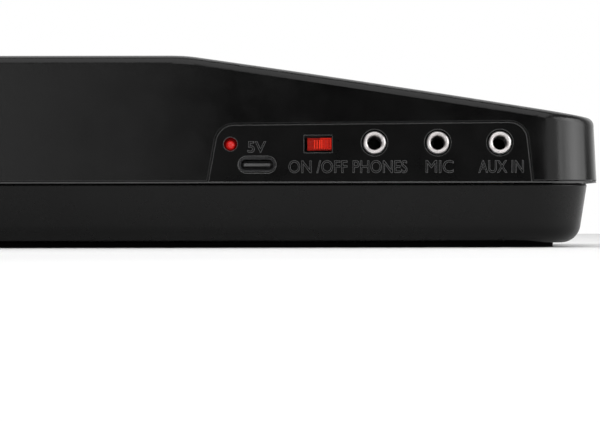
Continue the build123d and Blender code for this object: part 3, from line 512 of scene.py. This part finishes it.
def finish_piece(piece: bpy.types.Object, name: str, finish: Finish, body: str, smooth: float = 30.0
                 ) -> bpy.types.Object:
    """Name a piece, give it its finish and shading, and let it ride on a body.

    Args:
        piece: The modelled mesh.
        name: Its name in the scene.
        finish: Its material.
        body: The CAD body it moves with.
        smooth: Edges flatter than this many degrees are shaded smooth.

    Returns:
        The same piece.
    """
    piece.name = name
    piece.data.name = name
    only(piece)
    bpy.ops.object.mode_set(mode="EDIT")
    bpy.ops.mesh.select_all(action="SELECT")
    bpy.ops.mesh.normals_make_consistent(inside=False)
    bpy.ops.object.mode_set(mode="OBJECT")
    bpy.ops.object.shade_smooth_by_angle(angle=math.radians(smooth))
    piece.data.materials.clear()
    piece.data.materials.append(finish.material())
    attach(piece, body)
    log.info("piece %s on %s", name, body)
    return piece


def raised_prism(corners: int, radius: float, height: float, turn: float, bevel: float) -> bpy.types.Object:
    """Model a low prism with bevelled upper edges, standing on the world's XY plane.

    Args:
        corners: Number of corners.
        radius: Distance from its middle to a corner, in metres.
        height: Its height, in metres.
        turn: Turn about Z, in degrees.
        bevel: Width of the bevel, in metres.

    Returns:
        The new mesh object.
    """
    deselect()
    bpy.ops.mesh.primitive_circle_add(vertices=corners, radius=radius, fill_type="NGON",
                                      rotation=(0, 0, math.radians(turn)))
    piece = bpy.context.active_object
    bpy.ops.object.transform_apply(location=True, rotation=True, scale=True)
    bpy.ops.object.mode_set(mode="EDIT")
    bpy.ops.mesh.extrude_region_move(TRANSFORM_OT_translate={"value": (0, 0, height)})
    pick_faces(piece, lambda face: face.normal.z > 0.9 and face.calc_center_median().z > height / 2)
    bpy.ops.mesh.bevel(offset=bevel, segments=2, affect="EDGES")
    bpy.ops.object.mode_set(mode="OBJECT")
    return piece


def bar(length: float, width: float, height: float) -> bpy.types.Object:
    """Model a low bar with bevelled upper edges along the world's X and Y axes.

    Args:
        length: Size along X, in metres.
        width: Size along Y, in metres.
        height: Size along Z, in metres.

    Returns:
        The new mesh object.
    """
    piece = raised_prism(4, math.sqrt(0.5) * width, height, 45, min(length, width, height) * 0.25)
    piece.scale.x = length / width
    only(piece)
    bpy.ops.object.transform_apply(location=True, rotation=True, scale=True)
    return piece


def lettering(text: str, cap_height: float, width: float, depth: float, rim: float) -> bpy.types.Object:
    """Model raised letters with sloping rims, centred on the world's XY plane.

    Args:
        text: The words.
        cap_height: Height of a capital, in metres.
        width: Width of the whole line, in metres.
        depth: Thickness of the letters, in metres, half of it above the plane.
        rim: Width of the sloping rim inside each outline, in metres.

    Returns:
        The new mesh object.
    """
    deselect()
    bpy.ops.object.text_add()
    piece = bpy.context.active_object
    piece.data.body = "H"
    bpy.context.view_layer.update()
    capital = piece.dimensions.y
    piece.data.body = text
    piece.data.align_x = "CENTER"
    bpy.context.view_layer.update()
    shrink = cap_height / capital
    slope = rim / shrink
    stretch = Vector((width / piece.dimensions.x, shrink, depth / (3 * slope)))
    piece.data.bevel_depth = slope
    piece.data.bevel_resolution = 1
    piece.data.extrude = slope / 2
    piece.data.offset = -slope * 0.1
    bpy.ops.object.convert(target="MESH")
    piece = bpy.context.active_object
    piece.scale = stretch
    piece.location.y = -cap_height / 2
    bpy.ops.object.transform_apply(location=True, rotation=True, scale=True)
    return piece


def rim_faces(piece: bpy.types.Object, out: Vector, finish: Finish) -> None:
    """Give a second finish to the faces of a flat piece that don't face straight out.

    Args:
        piece: The finished piece, in its place.
        out: The direction its flat faces look in.
        finish: The rims' finish.
    """
    only(piece)
    piece.data.materials.append(finish.material())
    piece.active_material_index = 1
    bpy.ops.object.mode_set(mode="EDIT")
    pick_faces(piece, lambda face: abs(face.normal.dot(out)) < 0.99)
    bpy.ops.object.material_slot_assign()
    bpy.ops.object.mode_set(mode="OBJECT")


def frame_ring(length: float, width: float, band: float, height: float, corner: float) -> bpy.types.Object:
    """Model a flat rounded picture-frame ring on the world's XY plane.

    Args:
        length: Outer length along X, in metres.
        width: Outer width along Y, in metres.
        band: Width of the ring's band, in metres.
        height: Its thickness, in metres.
        corner: Radius of the outer corners, in metres.

    Returns:
        The new mesh object.
    """
    deselect()
    bpy.ops.mesh.primitive_plane_add(size=1.0)
    piece = bpy.context.active_object
    piece.scale = (length, width, 1.0)
    bpy.ops.object.transform_apply(scale=True)
    bpy.ops.object.mode_set(mode="EDIT")
    bpy.ops.mesh.select_all(action="SELECT")
    bpy.ops.mesh.bevel(offset=corner, segments=16, affect="VERTICES")
    bpy.ops.mesh.select_all(action="SELECT")
    bpy.ops.mesh.inset(thickness=band)
    bpy.ops.mesh.delete(type="FACE")
    bpy.ops.mesh.select_all(action="SELECT")
    bpy.ops.mesh.extrude_region_move(TRANSFORM_OT_translate={"value": (0, 0, height)})
    pick_faces(piece, lambda face: face.normal.z > 0.9 and face.calc_center_median().z > height / 2)
    bpy.ops.mesh.bevel(offset=min(band, height) * 0.3, segments=2, affect="EDGES")
    bpy.ops.object.mode_set(mode="OBJECT")
    return piece


def joined(pieces: Iterable[bpy.types.Object]) -> bpy.types.Object:
    """Join pieces into one mesh and return it."""
    pieces = list(pieces)
    only(pieces[0])
    for piece in pieces:
        piece.select_set(True)
    bpy.ops.object.join()
    return bpy.context.active_object


# ---------------------------------------------------------------- sub-assemblies

@dataclass
class Casing:
    """The two shells with their feet, screws, battery parts and handle."""

    shade_rib_length: float = 220.0
    shade_rib_width: float = 134.0
    shade_rib_band: float = 1.2
    shade_rib_corner: float = 9.0
    shade_rib_clearance: float = 0.15
    shade_rib_sink: float = 0.1
    case_corner: float = 16.0
    bead_inset: float = 0.04
    bead_band: float = 0.7
    bead_height: float = 0.34
    bead_drop: float = 0.26

    def shade_rib(self) -> None:
        """Add a low near-black rib round under the tub, inside its edge, as a painted shadow in the gap above the
        floor.
        """
        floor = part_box("rubber_feet")[0].z
        low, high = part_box("lower_case")
        height = low.z - floor - self.shade_rib_clearance * MM + self.shade_rib_sink * MM
        rib = frame_ring(self.shade_rib_length * MM, self.shade_rib_width * MM, self.shade_rib_band * MM, height,
                         self.shade_rib_corner * MM)
        middle = (low + high) / 2
        settle(rib, Matrix.Translation((middle.x, middle.y, floor + self.shade_rib_clearance * MM)))
        finish_piece(rib, "painted_shadow_rib", Finish.UNDERSIDE, "root")

    def bead(self) -> None:
        """Add the thin bead along the upper case's lower edge, level with its wall, in a lighter grey that paints
        the highlight along the seam.
        """
        low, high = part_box("upper_case")
        length = high.x - low.x - 2 * self.bead_inset * MM
        width = high.y - low.y - 2 * self.bead_inset * MM
        strip = frame_ring(length, width, self.bead_band * MM, self.bead_height * MM, self.case_corner * MM)
        middle = (low + high) / 2
        settle(strip, Matrix.Translation((middle.x, middle.y, low.z - self.bead_drop * MM)))
        finish_piece(strip, "seam_highlight_bead", Finish.BEAD, "root")

    def build(self) -> None:
        """Dress the casing's CAD nodes, and add the painted-shadow rib under the tub and the painted-highlight
        bead above it.
        """
        self.shade_rib()
        self.bead()
        dress(Finish.CASE, "upper_case", "carry_handle")
        dress(Finish.TUB, "lower_case", "battery_cover")
        dress(Finish.RUBBER, "rubber_feet")
        dress(Finish.STEEL, "case_screws", "battery_contacts")
        dress(Finish.JACKET, "battery_cells")
        log.info("casing dressed")


@dataclass(frozen=True)
class Label:
    """One line of plain function lettering on the jack panel, placed from the middle socket."""

    name: str
    text: str
    along: float
    up: float
    width: float
    cap_height: float = 3.0


@dataclass
class JackPanel:
    """The side panel with its lettering, sockets, light and switch."""

    letter_rise: float = 0.16
    letter_rim: float = 0.08
    letter_sink: float = 0.05
    bush_radius: float = 2.85
    ring_margin: float = 0.12
    ring_flatness: float = 0.5
    ring_sink: float = 0.12
    dome_radius: float = 1.15
    dome_flatness: float = 0.55
    dome_sink: float = 0.3
    ridge_count: int = 5
    ridge_pitch: float = 0.62
    ridge_width: float = 0.22
    ridge_share: float = 0.7
    ridge_rise: float = 0.26
    ridge_sink: float = 0.318
    labels: tuple[Label, ...] = (
        Label("label_power_in", "5V", -45.75, -1.05, 4.5, 2.7),
        Label("label_on_off", "ON /OFF", -30.25, -6.05, 14.7),
        Label("label_phones", "PHONES", -14.65, -6.05, 13.65),
        Label("label_mic", "MIC", 0.4, -6.05, 6.9),
        Label("label_aux_in", "AUX IN", 16.05, -6.05, 11.3),
    )

    def build(self) -> None:
        """Dress the panel's CAD nodes and add its raised lettering, rings, ridges and lens."""
        dress(Finish.PANEL, "jack_panel")
        dress(Finish.NICKEL, "jack_bushes")
        dress(Finish.DARK_STEEL, "usb_shell")
        dress(Finish.INNER, "jack_bodies", "switch_body")
        # The tongue's lighter grey is a painted highlight.
        dress(Finish.LETTER, "usb_tongue")
        dress(Finish.LIGHT, "power_light")
        dress(Finish.SWITCH, "switch_slider")
        placing = panel_frame()
        for label in self.labels:
            piece = lettering(label.text, label.cap_height * MM, label.width * MM, self.letter_rise * MM,
                              self.letter_rim * MM)
            settle(piece, placing.matrix(label.along * MM, label.up * MM, -self.letter_sink * MM))
            finish_piece(piece, label.name, Finish.PANEL, "root")
            # Painted highlight: the letters' sloping rims take a lighter grey than their faces.
            rim_faces(piece, placing.out, Finish.LETTER)
        self.rings(placing)
        self.ridges(placing)
        self.dome(placing)

    def dome(self, placing: Placing) -> None:
        """Add the clear lens that domes out of the power light.

        Args:
            placing: The panel's frame.
        """
        along, up, out = placing.coordinates(front_of("power_light"))
        deselect()
        bpy.ops.mesh.primitive_uv_sphere_add(segments=48, ring_count=24, radius=self.dome_radius * MM)
        lens = bpy.context.active_object
        lens.scale.z = self.dome_flatness
        settle(lens, placing.matrix(along, up, out - self.dome_sink * MM))
        finish_piece(lens, "light_lens", Finish.LENS, "root", smooth=180.0)

    def ridges(self, placing: Placing) -> None:
        """Add the upright finger ridges on the switch's slider, in a lighter red that paints the highlight on
        them.

        Args:
            placing: The panel's frame.
        """
        low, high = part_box("switch_slider")
        along, up, out = placing.coordinates(front_of("switch_slider"))
        ribs = []
        for step in range(self.ridge_count):
            shift = (step - (self.ridge_count - 1) / 2) * self.ridge_pitch * MM
            rib = bar(self.ridge_width * MM, (high.z - low.z) * self.ridge_share, self.ridge_rise * MM)
            ribs.append(settle(rib, placing.matrix(along + shift, up, out - self.ridge_sink * MM)))
        finish_piece(joined(ribs), "slider_ridge_highlights", Finish.RIDGE, "slider")

    def rings(self, placing: Placing) -> None:
        """Add the rounded bright lip on each socket's bush.

        Args:
            placing: The panel's frame.
        """
        for name in ("phones", "mic", "aux"):
            mount = mount_named(f"{name}_socket")
            hole = mount["dims"]["r_mm"]
            middle_radius = (self.bush_radius + hole) / 2 * MM
            half_band = (self.bush_radius - hole - self.ring_margin) / 2 * MM
            deselect()
            bpy.ops.mesh.primitive_torus_add(major_segments=64, minor_segments=16,
                                             major_radius=middle_radius, minor_radius=half_band)
            ring = bpy.context.active_object
            ring.scale.z = self.ring_flatness
            along = placing.coordinates(Vector(mount["pos_m"])).x
            settle(ring, placing.matrix(along, 0.0, -self.ring_sink * MM))
            finish_piece(ring, f"{name}_ring", Finish.NICKEL, "root", smooth=180.0)


@dataclass
class CassetteDoor:
    """The door with its window, holder and the well behind it."""

    trim_length: float = 30.6
    trim_width: float = 80.6
    trim_band: float = 1.2
    trim_height: float = 0.35
    trim_corner: float = 4.0
    trim_sink: float = 0.15
    door_top: float = 2.4

    def build(self) -> None:
        """Dress the door's CAD nodes and add the bright trim round its window."""
        dress(Finish.DOOR, "cassette_door")
        dress(Finish.WINDOW, "door_window")
        dress(Finish.STEEL, "cassette_holder", "hinge_rods")
        dress(Finish.INNER, "cassette_well")
        deck = deck_frame()
        along = deck.coordinates(centre_of("door_window")).x
        trim = frame_ring(self.trim_length * MM, self.trim_width * MM, self.trim_band * MM,
                          self.trim_height * MM, self.trim_corner * MM)
        settle(trim, deck.matrix(along, 0.0, (self.door_top - self.trim_sink) * MM))
        finish_piece(trim, "window_trim", Finish.NICKEL, "door")


class Mark(Enum):
    """The plain symbol on a key."""

    RECORD = "record"
    PLAY = "play"
    REWIND = "rewind"
    FORWARD = "forward"
    STOP = "stop"
    PAUSE = "pause"


@dataclass
class KeyRow:
    """The six piano keys with their symbols."""

    size: float = 2.3
    rise: float = 0.3
    bevel_share: float = 0.25
    dot_corners: int = 28
    dot_share: float = 0.8
    stroke_share: float = 0.42
    stroke_step: float = 0.5
    arrow_share: float = 0.85
    arrow_step: float = 0.75
    from_pivot: float = 8.0
    above_pivot: float = 2.35

    def symbol(self, mark: Mark) -> bpy.types.Object:
        """Model one key's symbol on the world's XY plane, with +X towards the key's front."""
        size, rise = self.size * MM, self.rise * MM
        bevel = rise * self.bevel_share
        if mark is Mark.RECORD:
            return raised_prism(self.dot_corners, size * self.dot_share, rise, 0, bevel)
        if mark is Mark.STOP:
            return raised_prism(4, size, rise, 45, bevel)
        if mark is Mark.PAUSE:
            bars = []
            for side in (-1, 1):
                stroke = bar(size * math.sqrt(2.0), size * self.stroke_share, rise)
                bars.append(settle(stroke, Matrix.Translation((0.0, side * size * self.stroke_step, 0.0))))
            return joined(bars)
        if mark is Mark.PLAY:
            return raised_prism(3, size, rise, 0, bevel)
        arrows = []
        heading = 0 if mark is Mark.FORWARD else 180
        for side in (-1, 1):
            arrow = raised_prism(3, size * self.arrow_share, rise, heading, bevel)
            arrows.append(settle(arrow, Matrix.Translation((0.0, side * size * self.arrow_step, 0.0))))
        return joined(arrows)

    def build(self) -> None:
        """Dress the keys and add their symbols."""
        deck = deck_frame()
        dress(Finish.STEEL, "key_springs")
        for mark in Mark:
            node = f"key_{mark.value}"
            dress(Finish.RECORD_KEY if mark is Mark.RECORD else Finish.KEY, node)
            pivot = deck.coordinates(Vector(joint_named(f"{mark.value}_press")["pos_m"]))
            place = deck.matrix(pivot.x + self.from_pivot * MM, centre_of(node).y,
                                pivot.z + self.above_pivot * MM)
            piece = settle(self.symbol(mark), place)
            finish_piece(piece, f"symbol_{mark.value}", Finish.PRINT, f"{mark.value}_key")


@dataclass
class Mechanism:
    """The tape drive, the heads and the boards."""

    def build(self) -> None:
        """Dress the mechanism's CAD nodes."""
        dress(Finish.STEEL, "chassis", "capstan", "motor", "head_carriage", "play_head", "pinch_arm")
        dress(Finish.BRASS, "standoffs", "capstan_bearing", "motor_pulley")
        dress(Finish.INNER, "supply_spindle", "take_up_spindle", "supply_disc", "take_up_disc", "erase_head",
              "screw_posts")
        dress(Finish.RUBBER, "idler_wheel", "drive_belt", "pinch_roller")
        dress(Finish.ALLOY, "flywheel", "board_capacitors", "microphone")
        dress(Finish.BOARD, "circuit_boards")
        log.info("mechanism dressed")


@dataclass
class TopControls:
    """The speaker, the counter, the reset button and the volume wheel."""

    digit_height: float = 3.4
    digit_width: float = 2.2
    digit_pitch: float = 5.6
    digit_rise: float = 0.12
    digit_rim: float = 0.05
    digit_lift: float = 0.02

    def build(self) -> None:
        """Dress the controls and print the counter's figures."""
        dress(Finish.GRILLE, "speaker_grille")
        dress(Finish.STEEL, "speaker_frame", "volume_control")
        dress(Finish.FERRITE, "speaker_magnet")
        dress(Finish.PAPER, "speaker_cone")
        dress(Finish.KEY, "volume_wheel", "reset_button")
        dress(Finish.INNER, "counter_case", "counter_wheels")
        dress(Finish.WINDOW, "counter_window")
        low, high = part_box("counter_wheels")
        middle = (low + high) / 2
        digits = []
        for step in (-1, 0, 1):
            digit = lettering("0", self.digit_height * MM, self.digit_width * MM, self.digit_rise * MM,
                              self.digit_rim * MM)
            quarter = Matrix.Rotation(math.radians(-90), 4, "Z")
            place = Vector((middle.x, middle.y + step * self.digit_pitch * MM, high.z + self.digit_lift * MM))
            digits.append(settle(digit, Matrix.Translation(place) @ quarter))
        finish_piece(joined(digits), "counter_figures", Finish.PRINT, "counter")


# ---------------------------------------------------------------- studio

@dataclass(frozen=True)
class Lamp:
    """A rectangular soft light that faces a target."""

    name: str
    place: tuple[float, float, float]
    target: tuple[float, float, float]
    size: tuple[float, float]
    power: float

    def hang(self) -> None:
        """Create the light in the scene."""
        lamp = bpy.data.lights.new(self.name, "AREA")
        lamp.shape = "RECTANGLE"
        lamp.size, lamp.size_y = self.size
        lamp.energy = self.power
        holder = bpy.data.objects.new(self.name, lamp)
        bpy.context.scene.collection.objects.link(holder)
        holder.location = self.place
        facing = Vector(self.target) - Vector(self.place)
        holder.rotation_euler = facing.to_track_quat("-Z", "Y").to_euler()


@dataclass
class Studio:
    """The floor, the soft lights and the camera."""

    floor_width: float = 4.0
    floor_front: float = -1.2
    floor_back: float = 0.7
    glow_start: float = -0.35
    glow_full: float = -1.1
    glow: float = 0.35
    camera_along: float = 0.0456
    camera_height: float = 0.0093
    camera_roll: float = 0.09
    camera_distance: float = 1.3
    picture_width: float = 0.1511
    sky_stops: tuple[tuple[float, float], ...] = ((0.15, 0.02), (0.50, 0.2), (0.775, 0.2), (0.95, 1.0))
    lamps: tuple[Lamp, ...] = (
        Lamp("overhead", (0.0, 0.6, 1.3), (0.04, 0.0, 0.02), (1.8, 1.2), 9.5),
        Lamp("front_top", (-0.1, -0.75, 0.95), (0.0, -0.07, 0.03), (1.8, 1.3), 9.5),
        Lamp("left_card", (-0.12, -0.27, 0.07), (-0.12, 0.0, 0.07), (0.264, 0.1), 0.026),
        Lamp("left_far", (-0.25, -0.67, 0.12), (-0.25, 0.0, 0.12), (0.4, 0.2), 0.13),
        Lamp("right_core", (0.7, -0.2, 0.2), (0.11, -0.06, 0.03), (0.2, 0.5), 1.2),
        Lamp("right_mid", (0.7, -0.2, 0.2), (0.11, -0.06, 0.03), (0.42, 0.5), 1.9),
        Lamp("right_wide", (0.7, -0.2, 0.2), (0.11, -0.06, 0.03), (0.8, 0.5), 2.4),
        Lamp("right_front", (0.55, -0.68, 0.12), (0.11, -0.06, 0.03), (0.45, 0.4), 0.42),
    )

    def floor(self) -> None:
        """Lay a plain pale floor under the feet, a little lit from within towards the camera."""
        deselect()
        bpy.ops.mesh.primitive_plane_add(size=1.0)
        floor = bpy.context.active_object
        floor.scale = (self.floor_width, self.floor_back - self.floor_front, 1.0)
        floor.location.y = (self.floor_back + self.floor_front) / 2
        bpy.ops.object.transform_apply(location=True, rotation=True, scale=True)
        floor.name = "floor"
        graph = Graph("floor_white")
        tone = graph.mix(graph.noise(0.4), (0.84, 0.84, 0.84), (0.87, 0.87, 0.87))
        split = graph.put(graph.nodes.new("ShaderNodeSeparateXYZ"), Vector=graph.place)
        lift = graph.remap(split.outputs["Y"], self.glow_start, self.glow_full, 0.0, self.glow)
        graph.put(graph.shader, Base_Color=tone, Roughness=0.7, Specular_IOR_Level=0.2,
                  Emission_Color=(1.0, 1.0, 1.0, 1.0), Emission_Strength=lift)
        floor.data.materials.append(graph.material)

    def sky(self) -> None:
        """Surround the scene with white that falls off to dark behind the camera."""
        world = bpy.data.worlds.new("studio_white")
        bpy.context.scene.world = world
        world.use_nodes = True
        nodes, links = world.node_tree.nodes, world.node_tree.links
        nodes.clear()
        place = nodes.new("ShaderNodeTexCoord")
        split = nodes.new("ShaderNodeSeparateXYZ")
        links.new(place.outputs["Generated"], split.inputs["Vector"])
        share = nodes.new("ShaderNodeMapRange")
        share.inputs["From Min"].default_value = -1.0
        links.new(split.outputs["Y"], share.inputs["Value"])
        ramp = nodes.new("ShaderNodeValToRGB")
        links.new(share.outputs["Result"], ramp.inputs["Fac"])
        stops = ramp.color_ramp.elements
        for place, grey in self.sky_stops[1:-1]:
            stops.new(place)
        for stop, (place, grey) in zip(stops, self.sky_stops):
            stop.position = place
            stop.color = (grey, grey, grey, 1.0)
        back = nodes.new("ShaderNodeBackground")
        links.new(ramp.outputs["Color"], back.inputs["Color"])
        output = nodes.new("ShaderNodeOutputWorld")
        links.new(back.outputs["Background"], output.inputs["Surface"])

    def camera(self) -> None:
        """Set a long lens square to the jack side, low over the floor."""
        lens = bpy.data.cameras.new("camera")
        lens.sensor_width = 36.0
        lens.lens = lens.sensor_width * self.camera_distance / self.picture_width
        lens.clip_start, lens.clip_end = 0.01, 50.0
        holder = bpy.data.objects.new("camera", lens)
        bpy.context.scene.collection.objects.link(holder)
        near_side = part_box("upper_case")[0].y
        holder.location = (self.camera_along, near_side - self.camera_distance, self.camera_height)
        holder.rotation_euler = (math.radians(90), math.radians(self.camera_roll), 0.0)
        bpy.context.scene.camera = holder

    def build(self) -> None:
        """Set up floor, sky, lights and camera."""
        self.floor()
        self.sky()
        for lamp in self.lamps:
            lamp.hang()
        self.camera()
        bpy.context.scene.view_settings.view_transform = "Standard"
        log.info("studio ready")


def main() -> None:
    """Build every sub-assembly's looks, in order."""
    for part in (Casing(), JackPanel(), CassetteDoor(), KeyRow(), Mechanism(), TopControls()):
        part.build()
        log.info("%s done", type(part).__name__)
    Studio().build()


if __name__ == "__main__":
    main()
